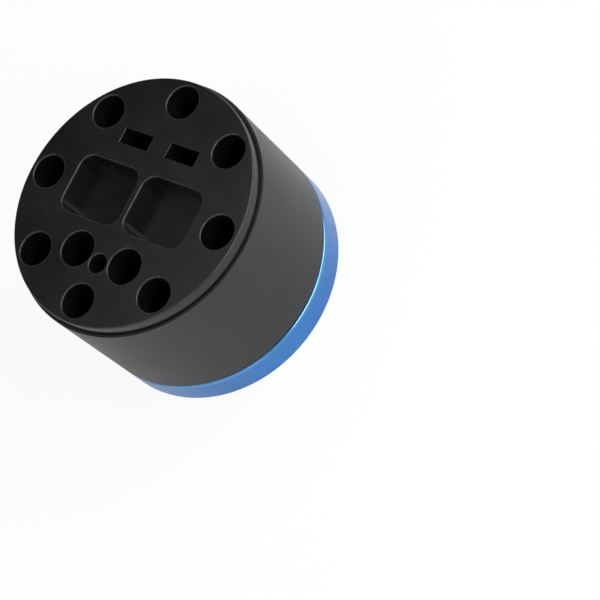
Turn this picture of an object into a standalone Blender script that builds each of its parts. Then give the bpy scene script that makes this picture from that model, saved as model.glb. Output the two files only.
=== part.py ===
"""Revolving desktop tool holder: a drum of tool pockets on a ball bearing in a turned aluminium base."""

import math

import bmesh
import bpy
from mathutils import Vector

MM = 0.001

# Drum and base, in millimetres.
BODY_DIAMETER = 80.0
BASE_HEIGHT = 9.3
BASE_TOP_ROUND = 0.9
BASE_FOOT_CHAMFER = 0.5
SHADOW_GAP = 1.0
SLEEVE_LENGTH = 39.8
SLEEVE_WALL = 0.8
SLEEVE_EDGE = 0.15
FIT_GAP = 0.3

# Grip pad under the base.
PAD_DIAMETER = 68.0
PAD_THICKNESS = 1.7
PAD_PROUD = 0.5
PAD_EDGE = 0.3

# Tool insert: face, skirt and walls.
INSERT_STAND = 4.0
INSERT_EDGE = 0.4
FACE_THICKNESS = 2.4
SKIRT_WALL = 1.5
TUBE_WALL = 1.3
MOUTH_EASE = 0.35

# Round holes.
OUTER_HOLE_DIAMETER = 10.4
OUTER_HOLE_COUNT = 8
INNER_HOLE_DIAMETER = 10.8
INNER_HOLE_STANDOFF = 3.8
PIN_HOLE_DIAMETER = 5.8
PIN_HOLE_WEB = 0.7
PIN_HOLE_OFFSET = 1.9
TUBE_LIFT = 1.2

# Shallow trays and narrow slots.
TRAY_WIDTH = 22.0
TRAY_LENGTH = 18.2
TRAY_CORNER = 4.2
TRAY_DEPTH = 6.5
TRAY_RIB = 2.0
SLOT_WIDTH = 10.5
SLOT_THICKNESS = 4.8
SLOT_CORNER = 0.25
SLOT_SPACE = 6.9
SLOT_STANDOFF = 6.0

# Ball bearing.
BEARING_BORE = 8.0
BEARING_OUTSIDE = 22.0
BALL_DIAMETER = 3.969
BALL_COUNT = 7
BALL_SIDE_ROOM = 1.5155
BALL_GAP = 0.12
INNER_SHOULDER = 1.4
OUTER_SHOULDER = 1.45
SHIELD_THICKNESS = 0.4
SHIELD_INSET = 0.35
SHIELD_LEDGE = 0.8
BEARING_GAP = 0.15
CAGE_WIDTH = 1.4
CAGE_FINGER = 0.6

# Bearing housing, journal and retaining screw.
HOUSING_WALL = 3.8
WASHER_THICKNESS = 1.0
WASHER_DIAMETER = 11.8
RETAINER_HEAD_DIAMETER = 8.0
RETAINER_HEAD_HEIGHT = 2.2
RETAINER_SHANK_DIAMETER = 4.0
RETAINER_LENGTH = 9.0
JOURNAL_RELIEF = 0.3
SHOULDER_DIAMETER = 11.4
PLATE_THICKNESS = 2.4
DOME_WALL = 2.2

# Case screws.
CASE_SCREW_COUNT = 4
CASE_SCREW_DIAMETER = 2.9
CASE_SCREW_LENGTH = 13.0
CASE_HEAD_DIAMETER = 5.6
BOSS_WALL = 1.9
CROSS_WIDTH = 0.9
CROSS_SPAN = 0.58
CROSS_DEPTH = 1.2
CROSS_CORNER = 0.225

# Fineness of the round surfaces.
BODY_STEPS = 60
HOLE_STEPS = 24
BEARING_STEPS = 28
SCREW_STEPS = 12
BALL_STEPS = 14
BALL_RINGS = 6
ARC_STEPS = 3
OVERRUN = 2.0
QUARTER_TURN = 90.0
SMOOTH_ANGLE = 35.0
WELD = 1e-7

# Heights above the resting plane.
base_foot = PAD_PROUD
base_top = base_foot + BASE_HEIGHT
recess_roof = PAD_THICKNESS + FIT_GAP
bearing_width = BALL_DIAMETER + 2 * BALL_SIDE_ROOM
head_bottom = recess_roof + FIT_GAP
washer_bottom = head_bottom + RETAINER_HEAD_HEIGHT + BEARING_GAP
bearing_bottom = washer_bottom + WASHER_THICKNESS + BEARING_GAP
bearing_middle = bearing_bottom + bearing_width / 2
bearing_top = bearing_bottom + bearing_width
drum_bottom = base_top + SHADOW_GAP
plate_top = drum_bottom + PLATE_THICKNESS
dome_roof = max(bearing_top + FIT_GAP, drum_bottom + FIT_GAP)
dome_top = dome_roof + PLATE_THICKNESS
sleeve_top = drum_bottom + SLEEVE_LENGTH
face_top = sleeve_top + INSERT_STAND
face_under = face_top - FACE_THICKNESS
tube_bottom = dome_top + TUBE_LIFT
tube_floor = tube_bottom + TUBE_WALL
skirt_bottom = plate_top + FIT_GAP

# Radii.
body_radius = BODY_DIAMETER / 2
sleeve_bore = body_radius - SLEEVE_WALL
insert_radius = sleeve_bore - FIT_GAP
pad_radius = PAD_DIAMETER / 2
ball_radius = BALL_DIAMETER / 2
pitch_radius = (BEARING_BORE + BEARING_OUTSIDE) / 4
groove_radius = ball_radius + BALL_GAP
inner_shoulder_radius = pitch_radius - INNER_SHOULDER
outer_shoulder_radius = pitch_radius + OUTER_SHOULDER
seat_radius = BEARING_OUTSIDE / 2 + BEARING_GAP
housing_radius = seat_radius + HOUSING_WALL
dome_inner_radius = housing_radius + SHADOW_GAP
case_head_height = (CASE_HEAD_DIAMETER - CASE_SCREW_DIAMETER) / 2

# Places on the face, as seen from above.
outer_circle = insert_radius - SKIRT_WALL - OUTER_HOLE_DIAMETER / 2
inner_hole_x = (INNER_HOLE_DIAMETER + PIN_HOLE_DIAMETER) / 2 + PIN_HOLE_WEB
inner_hole_y = -(TRAY_LENGTH + INNER_HOLE_DIAMETER) / 2 - INNER_HOLE_STANDOFF
pin_hole_y = inner_hole_y - PIN_HOLE_OFFSET
tray_x = (TRAY_RIB + TRAY_WIDTH) / 2
slot_x = (SLOT_SPACE + SLOT_WIDTH) / 2
slot_y = (TRAY_LENGTH + SLOT_THICKNESS) / 2 + SLOT_STANDOFF


def around(count, radius, turn=0.0):
    """Evenly spaced places on a circle about the drum's axis, turned by a share of one step."""
    step = 2 * math.pi / count
    angles = [step * (i + turn) for i in range(count)]
    return [(radius * math.cos(a), radius * math.sin(a)) for a in angles]


def arc(middle, radius, start, end, steps=ARC_STEPS):
    """Points on an arc, both ends included, with angles in degrees."""
    angles = [math.radians(start + (end - start) * i / steps) for i in range(steps + 1)]
    return [(middle[0] + radius * math.cos(a), middle[1] + radius * math.sin(a)) for a in angles]


def rounded_rectangle(width, length, corner):
    """Outline of a rectangle with round corners, about its own middle."""
    x = width / 2 - corner
    y = length / 2 - corner
    middles = [(x, y), (-x, y), (-x, -y), (x, -y)]
    corners = [arc(m, corner, QUARTER_TURN * i, QUARTER_TURN * (i + 1)) for i, m in enumerate(middles)]
    return [point for points in corners for point in points]


def material(name, colour, roughness, metallic):
    """A Principled material with a plain colour."""
    made = bpy.data.materials.new(name)
    made.use_nodes = True
    shader = made.node_tree.nodes["Principled BSDF"]
    shader.inputs["Base Color"].default_value = (*colour, 1.0)
    shader.inputs["Roughness"].default_value = roughness
    shader.inputs["Metallic"].default_value = metallic
    return made


def finish(name, bm, made=None):
    """Closes a mesh and puts it in the scene as one object, shaded smooth across shallow edges."""
    bmesh.ops.remove_doubles(bm, verts=bm.verts, dist=WELD)
    bmesh.ops.recalc_face_normals(bm, faces=bm.faces)
    mesh = bpy.data.meshes.new(name)
    bm.to_mesh(mesh)
    bm.free()
    mesh.shade_smooth()
    mesh.set_sharp_from_angle(angle=math.radians(SMOOTH_ANGLE))
    piece = bpy.data.objects.new(name, mesh)
    bpy.context.scene.collection.objects.link(piece)
    if made:
        mesh.materials.append(made)
    else:
        piece.hide_render = True
        piece.display_type = "WIRE"
    return piece


def turned(name, outline, made=None, steps=BODY_STEPS):
    """A solid of revolution about Z; an outline that starts and ends on the axis stays open there."""
    bm = bmesh.new()
    points = [bm.verts.new((r * MM, 0, z * MM)) for r, z in outline]
    pairs = list(zip(points, points[1:]))
    if outline[0][0] > 0:
        pairs.append((points[-1], points[0]))
    edges = [bm.edges.new(pair) for pair in pairs]
    bmesh.ops.spin(
        bm,
        geom=points + edges,
        cent=(0, 0, 0),
        axis=(0, 0, 1),
        angle=2 * math.pi,
        steps=steps,
        use_merge=True,
    )
    return finish(name, bm, made)


def lofted(name, levels, made=None):
    """A closed solid through outlines of one point count at rising heights."""
    bm = bmesh.new()
    rings = []
    for outline, height in levels:
        verts = [bm.verts.new((x * MM, y * MM, height * MM)) for x, y in outline]
        rings.append(verts)
    edges = []
    for ring in rings:
        edges.append([bm.edges.new((ring[i - 1], ring[i])) for i in range(len(ring))])
    for lower, upper in zip(edges, edges[1:]):
        bmesh.ops.bridge_loops(bm, edges=lower + upper)
    bm.faces.new(rings[0])
    bm.faces.new(rings[-1])
    return finish(name, bm, made)


def bar(name, radius, bottom, top, steps=HOLE_STEPS):
    """A plain round bar used to add to or cut a piece."""
    return turned(name, [(0, bottom), (radius, bottom), (radius, top), (0, top)], steps=steps)


def combine(piece, tool, operation):
    """Joins a shape to a piece or cuts it away."""
    change = piece.modifiers.new(tool.name, "BOOLEAN")
    change.operation = operation
    change.solver = "EXACT"
    change.object = tool


def place(piece, x, y, z=0.0):
    """Moves a piece to a place given in millimetres."""
    piece.location = Vector((x, y, z)) * MM
    return piece


def round_pocket(name, diameter, floor):
    """Cutter for a round hole with an eased mouth."""
    r = diameter / 2
    outline = [
        (0, floor),
        (r, floor),
        (r, face_top - MOUTH_EASE),
        (r + MOUTH_EASE, face_top),
        (r + MOUTH_EASE, face_top + OVERRUN),
        (0, face_top + OVERRUN),
    ]
    return turned(name, outline, steps=HOLE_STEPS)


def square_pocket(name, width, length, corner, floor):
    """Cutter for a rectangular pocket with an eased mouth."""
    inner = rounded_rectangle(width, length, corner)
    outer = rounded_rectangle(width + 2 * MOUTH_EASE, length + 2 * MOUTH_EASE, corner + MOUTH_EASE)
    levels = [
        (inner, floor),
        (inner, face_top - MOUTH_EASE),
        (outer, face_top),
        (outer, face_top + OVERRUN),
    ]
    return lofted(name, levels)


def square_wall(name, width, length, corner, bottom):
    """Outside of the wall round a rectangular pocket, up into the face."""
    outline = rounded_rectangle(width + 2 * TUBE_WALL, length + 2 * TUBE_WALL, corner + TUBE_WALL)
    return lofted(name, [(outline, bottom), (outline, face_top - FACE_THICKNESS / 2)])


def cross_recess(name, head_diameter, bottom):
    """Two crossed bars that cut a driver recess up into a screw head."""
    span = head_diameter * CROSS_SPAN
    tools = []
    for i, size in enumerate([(span, CROSS_WIDTH), (CROSS_WIDTH, span)]):
        outline = rounded_rectangle(*size, CROSS_CORNER)
        levels = [(outline, bottom - OVERRUN), (outline, bottom + CROSS_DEPTH)]
        tools.append(lofted(f"{name}_{i + 1}", levels))
    return tools


def build_base(made):
    """Turned base with the pad recess below and the bearing housing above."""
    seat_floor = bearing_bottom - BEARING_GAP
    bore = outer_shoulder_radius
    recess = pad_radius + FIT_GAP
    round_middle = (body_radius - BASE_TOP_ROUND, base_top - BASE_TOP_ROUND)
    top_round = arc(round_middle, BASE_TOP_ROUND, 0, QUARTER_TURN)
    outline = [
        (bore, recess_roof),
        (recess, recess_roof),
        (recess, base_foot),
        (body_radius - BASE_FOOT_CHAMFER, base_foot),
        (body_radius, base_foot + BASE_FOOT_CHAMFER),
        *top_round,
        (housing_radius, base_top),
        (housing_radius, bearing_top - BEARING_GAP),
        (seat_radius, bearing_top - BEARING_GAP),
        (seat_radius, seat_floor),
        (bore, seat_floor),
    ]
    turned("base_plate", outline, made)


def build_pad(made):
    """Silicone disc that the holder stands on."""
    outline = [
        (0, 0),
        (pad_radius - PAD_EDGE, 0),
        (pad_radius, PAD_EDGE),
        (pad_radius, PAD_THICKNESS),
        (0, PAD_THICKNESS),
    ]
    turned("grip_pad", outline, made)


def build_bearing(steel, shield, nylon):
    """Rings, shields, cage and balls of the deep groove ball bearing."""
    inner_angle = math.degrees(math.acos(INNER_SHOULDER / groove_radius))
    outer_angle = math.degrees(math.acos(OUTER_SHOULDER / groove_radius))
    middle = (pitch_radius, bearing_middle)
    inward = 2 * QUARTER_TURN
    ledge = SHIELD_INSET + SHIELD_THICKNESS + BEARING_GAP
    ledge_radius = outer_shoulder_radius + SHIELD_LEDGE
    outside = BEARING_OUTSIDE / 2
    bore = BEARING_BORE / 2
    inner = [
        (bore, bearing_bottom),
        (inner_shoulder_radius, bearing_bottom),
        *arc(middle, groove_radius, inward + inner_angle, inward - inner_angle, 2 * ARC_STEPS),
        (inner_shoulder_radius, bearing_top),
        (bore, bearing_top),
    ]
    outer = [
        (outside, bearing_bottom),
        (outside, bearing_top),
        (ledge_radius, bearing_top),
        (ledge_radius, bearing_top - ledge),
        (outer_shoulder_radius, bearing_top - ledge),
        *arc(middle, groove_radius, outer_angle, -outer_angle, 2 * ARC_STEPS),
        (outer_shoulder_radius, bearing_bottom + ledge),
        (ledge_radius, bearing_bottom + ledge),
        (ledge_radius, bearing_bottom),
    ]
    turned("bearing_inner_ring", inner, steel, BEARING_STEPS)
    turned("bearing_outer_ring", outer, steel, BEARING_STEPS)

    shield_inner = inner_shoulder_radius + FIT_GAP
    shield_outer = ledge_radius - BEARING_GAP
    floors = {
        "bearing_shield_lower": bearing_bottom + SHIELD_INSET,
        "bearing_shield_upper": bearing_top - SHIELD_INSET - SHIELD_THICKNESS,
    }
    for name, floor in floors.items():
        outline = [
            (shield_inner, floor),
            (shield_outer, floor),
            (shield_outer, floor + SHIELD_THICKNESS),
            (shield_inner, floor + SHIELD_THICKNESS),
        ]
        turned(name, outline, shield, BEARING_STEPS)

    cage_top = bearing_top - ledge
    cage_foot = bearing_middle - CAGE_FINGER
    cage_inner = pitch_radius - CAGE_WIDTH / 2
    cage_outer = pitch_radius + CAGE_WIDTH / 2
    outline = [
        (cage_inner, cage_foot),
        (cage_outer, cage_foot),
        (cage_outer, cage_top),
        (cage_inner, cage_top),
    ]
    cage = turned("bearing_cage", outline, nylon, BEARING_STEPS)
    pocket_curve = arc((0, 0), groove_radius + BALL_GAP / 2, -QUARTER_TURN, QUARTER_TURN, BALL_RINGS)
    ball_curve = arc((0, 0), ball_radius, -QUARTER_TURN, QUARTER_TURN, BALL_RINGS)
    for i, (x, y) in enumerate(around(BALL_COUNT, pitch_radius)):
        pocket = turned(f"ball_pocket_{i + 1}", pocket_curve, steps=BALL_STEPS)
        combine(cage, place(pocket, x, y, bearing_middle), "DIFFERENCE")
        ball = turned(f"bearing_ball_{i + 1}", ball_curve, steel, BALL_STEPS)
        place(ball, x, y, bearing_middle)


def build_turntable(made, places):
    """Floor of the drum, domed over the housing, with the journal that fills the bearing's bore."""
    dome_radius = dome_inner_radius + DOME_WALL
    journal = BEARING_BORE / 2 - BEARING_GAP
    journal_end = bearing_bottom + JOURNAL_RELIEF
    pilot = RETAINER_SHANK_DIAMETER / 2 + BEARING_GAP
    pilot_end = head_bottom + RETAINER_HEAD_HEIGHT + RETAINER_LENGTH + FIT_GAP
    shoulder = SHOULDER_DIAMETER / 2
    shoulder_end = bearing_top + BEARING_GAP
    outline = [
        (0, max(dome_top, pilot_end + DOME_WALL)),
        (shoulder, max(dome_top, pilot_end + DOME_WALL)),
        (shoulder + FIT_GAP, dome_top),
        (dome_radius, dome_top),
        (dome_radius, plate_top),
        (insert_radius, plate_top),
        (insert_radius, drum_bottom),
        (dome_inner_radius, drum_bottom),
        (dome_inner_radius, dome_roof),
        (shoulder, dome_roof),
        (shoulder, shoulder_end),
        (journal, shoulder_end),
        (journal, journal_end),
        (pilot, journal_end),
        (pilot, pilot_end),
        (0, pilot_end),
    ]
    turntable = turned("turntable", outline, made)
    shank = CASE_SCREW_DIAMETER / 2 + BEARING_GAP
    head = CASE_HEAD_DIAMETER / 2 + BEARING_GAP
    sink = [
        (0, drum_bottom - OVERRUN),
        (head + OVERRUN, drum_bottom - OVERRUN),
        (shank, drum_bottom + head - shank),
        (shank, plate_top + OVERRUN),
        (0, plate_top + OVERRUN),
    ]
    for i, (x, y) in enumerate(places):
        hole = turned(f"case_sink_{i + 1}", sink, steps=SCREW_STEPS)
        combine(turntable, place(hole, x, y), "DIFFERENCE")


def build_retainer(steel):
    """Washer under the inner ring and the pan head screw that holds it to the journal."""
    hole = RETAINER_SHANK_DIAMETER / 2 + BEARING_GAP
    rim = WASHER_DIAMETER / 2
    washer_top = washer_bottom + WASHER_THICKNESS
    turned(
        "retaining_washer",
        [(hole, washer_bottom), (rim, washer_bottom), (rim, washer_top), (hole, washer_top)],
        steel,
        BEARING_STEPS,
    )
    head = RETAINER_HEAD_DIAMETER / 2
    shank = RETAINER_SHANK_DIAMETER / 2
    under = head_bottom + RETAINER_HEAD_HEIGHT
    edge = RETAINER_HEAD_HEIGHT / 2
    outline = [
        (0, head_bottom),
        (head - edge, head_bottom),
        *arc((head - edge, head_bottom + edge), edge, -QUARTER_TURN / 2, 0),
        (head, under),
        (shank, under),
        (shank, under + RETAINER_LENGTH - shank / 2),
        (shank / 2, under + RETAINER_LENGTH),
        (0, under + RETAINER_LENGTH),
    ]
    screw = turned("retaining_screw", outline, steel, HOLE_STEPS)
    for tool in cross_recess("retaining_recess", RETAINER_HEAD_DIAMETER, head_bottom):
        combine(screw, tool, "DIFFERENCE")


def build_case_screws(steel, places):
    """Countersunk screws from below the turntable into the bosses of the insert."""
    head = CASE_HEAD_DIAMETER / 2
    shank = CASE_SCREW_DIAMETER / 2
    end = drum_bottom + CASE_SCREW_LENGTH
    outline = [
        (0, drum_bottom),
        (head, drum_bottom),
        (shank, drum_bottom + case_head_height),
        (shank, end - shank),
        (shank / 2, end),
        (0, end),
    ]
    for i, (x, y) in enumerate(places):
        screw = place(turned(f"case_screw_{i + 1}", outline, steel, SCREW_STEPS), x, y)
        for tool in cross_recess(f"case_recess_{i + 1}", CASE_HEAD_DIAMETER, drum_bottom):
            combine(screw, place(tool, x, y), "DIFFERENCE")


def build_sleeve(made):
    """Thin tube round the insert and the turntable."""
    outline = [
        (sleeve_bore, drum_bottom),
        (body_radius - SLEEVE_EDGE, drum_bottom),
        (body_radius, drum_bottom + SLEEVE_EDGE),
        (body_radius, sleeve_top - SLEEVE_EDGE),
        (body_radius - SLEEVE_EDGE, sleeve_top),
        (sleeve_bore, sleeve_top),
    ]
    turned("outer_sleeve", outline, made)


def build_insert(made, places):
    """Moulded insert: face and skirt, walls round every pocket, screw bosses, then the pockets."""
    skirt_bore = insert_radius - SKIRT_WALL
    outline = [
        (0, face_top),
        (insert_radius - INSERT_EDGE, face_top),
        (insert_radius, face_top - INSERT_EDGE),
        (insert_radius, skirt_bottom),
        (skirt_bore, skirt_bottom),
        (skirt_bore, face_under),
        (0, face_under),
    ]
    insert = turned("tool_insert", outline, made)
    rounds = [(OUTER_HOLE_DIAMETER, x, y) for x, y in around(OUTER_HOLE_COUNT, outer_circle)]
    rounds += [(INNER_HOLE_DIAMETER, side * inner_hole_x, inner_hole_y) for side in (-1, 1)]
    rounds.append((PIN_HOLE_DIAMETER, 0, pin_hole_y))
    rectangles = []
    for side in (-1, 1):
        tray_floor = face_top - TRAY_DEPTH
        rectangles.append((TRAY_WIDTH, TRAY_LENGTH, TRAY_CORNER, tray_floor, side * tray_x, 0))
        rectangles.append((SLOT_WIDTH, SLOT_THICKNESS, SLOT_CORNER, tube_floor, side * slot_x, slot_y))

    wall_top = face_top - FACE_THICKNESS / 2
    for i, (diameter, x, y) in enumerate(rounds):
        wall = bar(f"round_wall_{i + 1}", diameter / 2 + TUBE_WALL, tube_bottom, wall_top)
        combine(insert, place(wall, x, y), "UNION")
    for i, (width, length, corner, floor, x, y) in enumerate(rectangles):
        wall = square_wall(f"square_wall_{i + 1}", width, length, corner, floor - TUBE_WALL)
        combine(insert, place(wall, x, y), "UNION")
    pilot = CASE_SCREW_DIAMETER / 2 + BEARING_GAP
    pilot_end = drum_bottom + CASE_SCREW_LENGTH + FIT_GAP
    for i, (x, y) in enumerate(places):
        boss = bar(f"boss_{i + 1}", pilot + BOSS_WALL, skirt_bottom, wall_top, SCREW_STEPS)
        combine(insert, place(boss, x, y), "UNION")

    for i, (diameter, x, y) in enumerate(rounds):
        pocket = round_pocket(f"round_pocket_{i + 1}", diameter, tube_floor)
        combine(insert, place(pocket, x, y), "DIFFERENCE")
    for i, (width, length, corner, floor, x, y) in enumerate(rectangles):
        pocket = square_pocket(f"square_pocket_{i + 1}", width, length, corner, floor)
        combine(insert, place(pocket, x, y), "DIFFERENCE")
    for i, (x, y) in enumerate(places):
        hole = bar(f"boss_pilot_{i + 1}", pilot, skirt_bottom - OVERRUN, pilot_end, SCREW_STEPS)
        combine(insert, place(hole, x, y), "DIFFERENCE")


def main():
    for piece in list(bpy.data.objects):
        bpy.data.objects.remove(piece, do_unlink=True)
    blue = material("blue_anodised_aluminium", (0.02, 0.16, 0.48), 0.35, 1.0)
    satin = material("black_anodised_aluminium", (0.02, 0.02, 0.022), 0.45, 0.2)
    black = material("black_moulded_plastic", (0.018, 0.018, 0.019), 0.5, 0.0)
    floor = material("black_floor_plastic", (0.03, 0.03, 0.03), 0.6, 0.0)
    rubber = material("grey_silicone", (0.05, 0.05, 0.055), 0.8, 0.0)
    steel = material("bright_steel", (0.6, 0.6, 0.62), 0.25, 1.0)
    sheet = material("shield_steel", (0.5, 0.5, 0.52), 0.4, 1.0)
    nylon = material("cream_nylon", (0.7, 0.66, 0.52), 0.5, 0.0)
    zinc = material("zinc_plated_steel", (0.55, 0.56, 0.6), 0.35, 1.0)
    case_places = around(CASE_SCREW_COUNT, outer_circle, CASE_SCREW_COUNT / OUTER_HOLE_COUNT / 2)
    build_base(blue)
    build_pad(rubber)
    build_bearing(steel, sheet, nylon)
    build_turntable(floor, case_places)
    build_retainer(zinc)
    build_case_screws(zinc, case_places)
    build_sleeve(satin)
    build_insert(black, case_places)


main()
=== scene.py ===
"""Revolving desktop tool holder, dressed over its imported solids."""

import math

import bmesh
import bpy
from bpy.props import FloatProperty, FloatVectorProperty, IntProperty, PointerProperty
from mathutils import Matrix, Vector


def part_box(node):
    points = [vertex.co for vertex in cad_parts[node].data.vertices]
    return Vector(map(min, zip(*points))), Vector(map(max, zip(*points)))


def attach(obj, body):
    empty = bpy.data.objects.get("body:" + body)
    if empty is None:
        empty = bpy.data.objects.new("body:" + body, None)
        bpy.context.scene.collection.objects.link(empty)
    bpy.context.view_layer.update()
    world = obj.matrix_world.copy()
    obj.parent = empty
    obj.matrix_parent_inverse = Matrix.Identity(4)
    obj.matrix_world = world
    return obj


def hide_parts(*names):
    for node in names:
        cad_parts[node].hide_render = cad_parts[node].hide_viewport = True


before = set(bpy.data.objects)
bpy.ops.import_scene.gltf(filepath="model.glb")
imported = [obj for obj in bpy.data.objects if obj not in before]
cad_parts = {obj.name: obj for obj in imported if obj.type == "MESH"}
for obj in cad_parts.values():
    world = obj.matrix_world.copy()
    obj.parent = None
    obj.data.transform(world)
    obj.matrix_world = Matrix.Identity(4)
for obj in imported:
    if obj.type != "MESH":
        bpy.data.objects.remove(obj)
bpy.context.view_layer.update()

bl_info = {
    "name": "Revolving tool holder",
    "version": (1, 0, 0),
    "blender": (4, 5, 0),
    "location": "View3D > Sidebar > Tool Holder",
    "description": "Models a drum of tool pockets that turns on a ball bearing in a blue base",
    "category": "Object",
}

MM = 0.001
METRE = 1.0

# Points round a ring or along a curve.
ROUND_STEPS = 192
RING_STEPS = 96
CAGE_STEPS = 98
HOLE_STEPS = 72
SMALL_STEPS = 48
GROOVE_STEPS = 14
CORNER_STEPS = 10
BALL_CUTS = 11

# What counts as one point, a sliver, one place, one radius, a level face, a sharp edge and a smooth one,
# and how far large faces rule the shading.
WELD = 1e-6
SLIVER = 3e-5
NEAR = 2e-5
SAME = 1e-9
LEVEL = 0.99
SHARP_ANGLE = math.radians(50)
SMOOTH_ANGLE = math.radians(35)
FACE_WEIGHT = 100

# The ball pockets are cut askew, so that no edge of the cutter lies on an edge of the cage.
POCKET_TURN = (0.2, 0.2, 0.2)

# Between drum and base.
RUNNING_GAP = 1.0 * MM

# By pitch: depth of a thread. By rib: the pad's plain rim, its plain middle, and one rib with its groove.
THREAD_DEPTH = 0.45
PAD_RIM, PAD_MIDDLE, PAD_STEP = 2, 3, 1.5

# Surfaces; each pair is the part of a texture's range that is spread over the whole look.
OXIDE_IOR = 1.76
COAT_ROUGHNESS = 0.15
POLISH = 0.065
POLISH_FADE = 0.8 * MM
MOTTLE_TONE = (0.3, 0.7)
MOTTLE_GLOSS = (0.25, 0.75)
SPECK_RIM = (0.10, 0.06)
SPECK_PATCH = (0.66, 0.72)
SPECK_PATCH_SCALE = 37.0
# The next four shape the painted highlight on marked edge roundings: its patches, their scale, its least
# strength and the coat it adds.
EDGE_GLINT_PATCH = (0.3, 0.6)
EDGE_GLINT_SCALE = 260.0
EDGE_GLINT_LEAST = 0.55
EDGE_GLINT_COAT = (0.0, 0.6)
RING_TONE = (0.35, 0.65)
RING_GLOSS = (0.3, 0.7)
RING_SCALE = 420.0
RING_DARK = 0.86
RING_DEPTH = 2e-5

# Stage: the floor, the share of plain white it shows straight and mirrored, and the room from low to high.
FLOOR_SIZE = 6.0
FLOOR_DROP = 0.05 * MM
WHITE_SEEN = 0.9
WHITE_MIRRORED = 0.15
ROOM_HEIGHTS = (0.10, 0.60)
ROOM_LEVELS = (0.8, 0.08)

# Softboxes: azimuth and elevation in degrees, distance and size in metres, radiance.
LAMPS = {
    "key_softbox": (-80, 40, 0.8, (1.3, 0.9), 0.75),
    "side_softbox": (58, 47, 0.8, (0.36, 0.36), 6.2),
    "front_softbox": (9, 37, 0.8, (0.5, 0.26), 7.8),
    "top_softbox": (164, 78, 0.7, (0.5, 0.5), 1.1),
}

BASE_LOW, BASE_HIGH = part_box("base_plate")
PAD_LOW, PAD_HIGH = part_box("grip_pad")
SLEEVE_LOW, SLEEVE_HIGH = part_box("outer_sleeve")
INSERT_LOW, INSERT_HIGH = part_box("tool_insert")
TABLE_LOW, TABLE_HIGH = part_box("turntable")
INNER_LOW, INNER_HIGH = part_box("bearing_inner_ring")
OUTER_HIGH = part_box("bearing_outer_ring")[1]
CAGE_LOW, CAGE_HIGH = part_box("bearing_cage")
WASHER_LOW, WASHER_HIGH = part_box("retaining_washer")
RETAINER_LOW, RETAINER_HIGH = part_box("retaining_screw")

# Camera: which way its right and its up point, and its place, fitted to the rims of the body and the holes.
CAMERA_RIGHT = Vector((0.78252, 0.44697, -0.43345))
CAMERA_UP = Vector((-0.29429, 0.87901, 0.37515))
CAMERA_PLACE = Vector((0.36871, -0.10098, 0.45097 + INSERT_HIGH.z))
CAMERA_LENS = 124.9
CAMERA_SENSOR = 36.0
CAMERA_CLIP = (0.01, 20.0)


def length(name, description, value, unit=MM):
    """A size that a user would change, in millimetres where it says nothing else."""
    return FloatProperty(
        name=name, description=description, default=value * unit, min=0.0, unit="LENGTH", precision=5
    )


def count(name, description, value):
    """A number of like parts."""
    return IntProperty(name=name, description=description, default=value, min=1)


def colour(name, description, *rgb):
    """A finish colour that a user would change; one number is a grey."""
    default = (*(rgb * 3)[:3], 1.0)
    return FloatVectorProperty(
        name=name, description=description, default=default, size=4, min=0.0, max=1.0, subtype="COLOR"
    )


class HolderBodySizes(bpy.types.PropertyGroup):
    """Sizes of the base, the pad and the sleeve."""

    radius: length("Body radius", "Outside radius of base and sleeve", BASE_HIGH.x, METRE)
    base_foot: length("Base foot", "Height of the base's lower edge", BASE_LOW.z, METRE)
    base_top: length("Base top", "Height of the base's upper face", SLEEVE_LOW.z - RUNNING_GAP, METRE)
    base_round: length("Base upper edge", "Rounding of the base's upper edge", 0.9)
    base_chamfer: length("Base lower edge", "Rounding of the base's lower edge", 0.5)
    housing_radius: length("Housing radius", "Outside radius of the housing", 14.95)
    seat_radius: length("Seat radius", "Radius of the bearing seat", 11.15)
    seat_floor: length("Seat floor", "Height of the seat's floor", 5.65)
    access_radius: length("Access bore", "Radius of the bore under the bearing", 8.95)
    housing_edge: length("Housing edge", "Rounding of the housing and the recess", 0.25)
    recess_roof: length("Pad recess", "Height of the pad recess's roof", 2.0)
    pad_gap: length("Pad gap", "Gap round the pad", 0.3)
    pad_rib: length("Pad rib", "Width of a ring under the pad", 2.6)
    pad_edge: length("Pad edge", "Rounding of the pad's foot", 0.3)
    pad_groove: length("Pad groove", "Depth of the grooves under the pad", 0.35)
    sleeve_wall: length("Sleeve wall", "Wall of the outer sleeve", 0.8)
    sleeve_edge: length("Sleeve edge", "Outer rounding of the sleeve", 0.15)
    sleeve_lip: length("Sleeve lip", "Inner rounding of the sleeve", 0.06)


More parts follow.
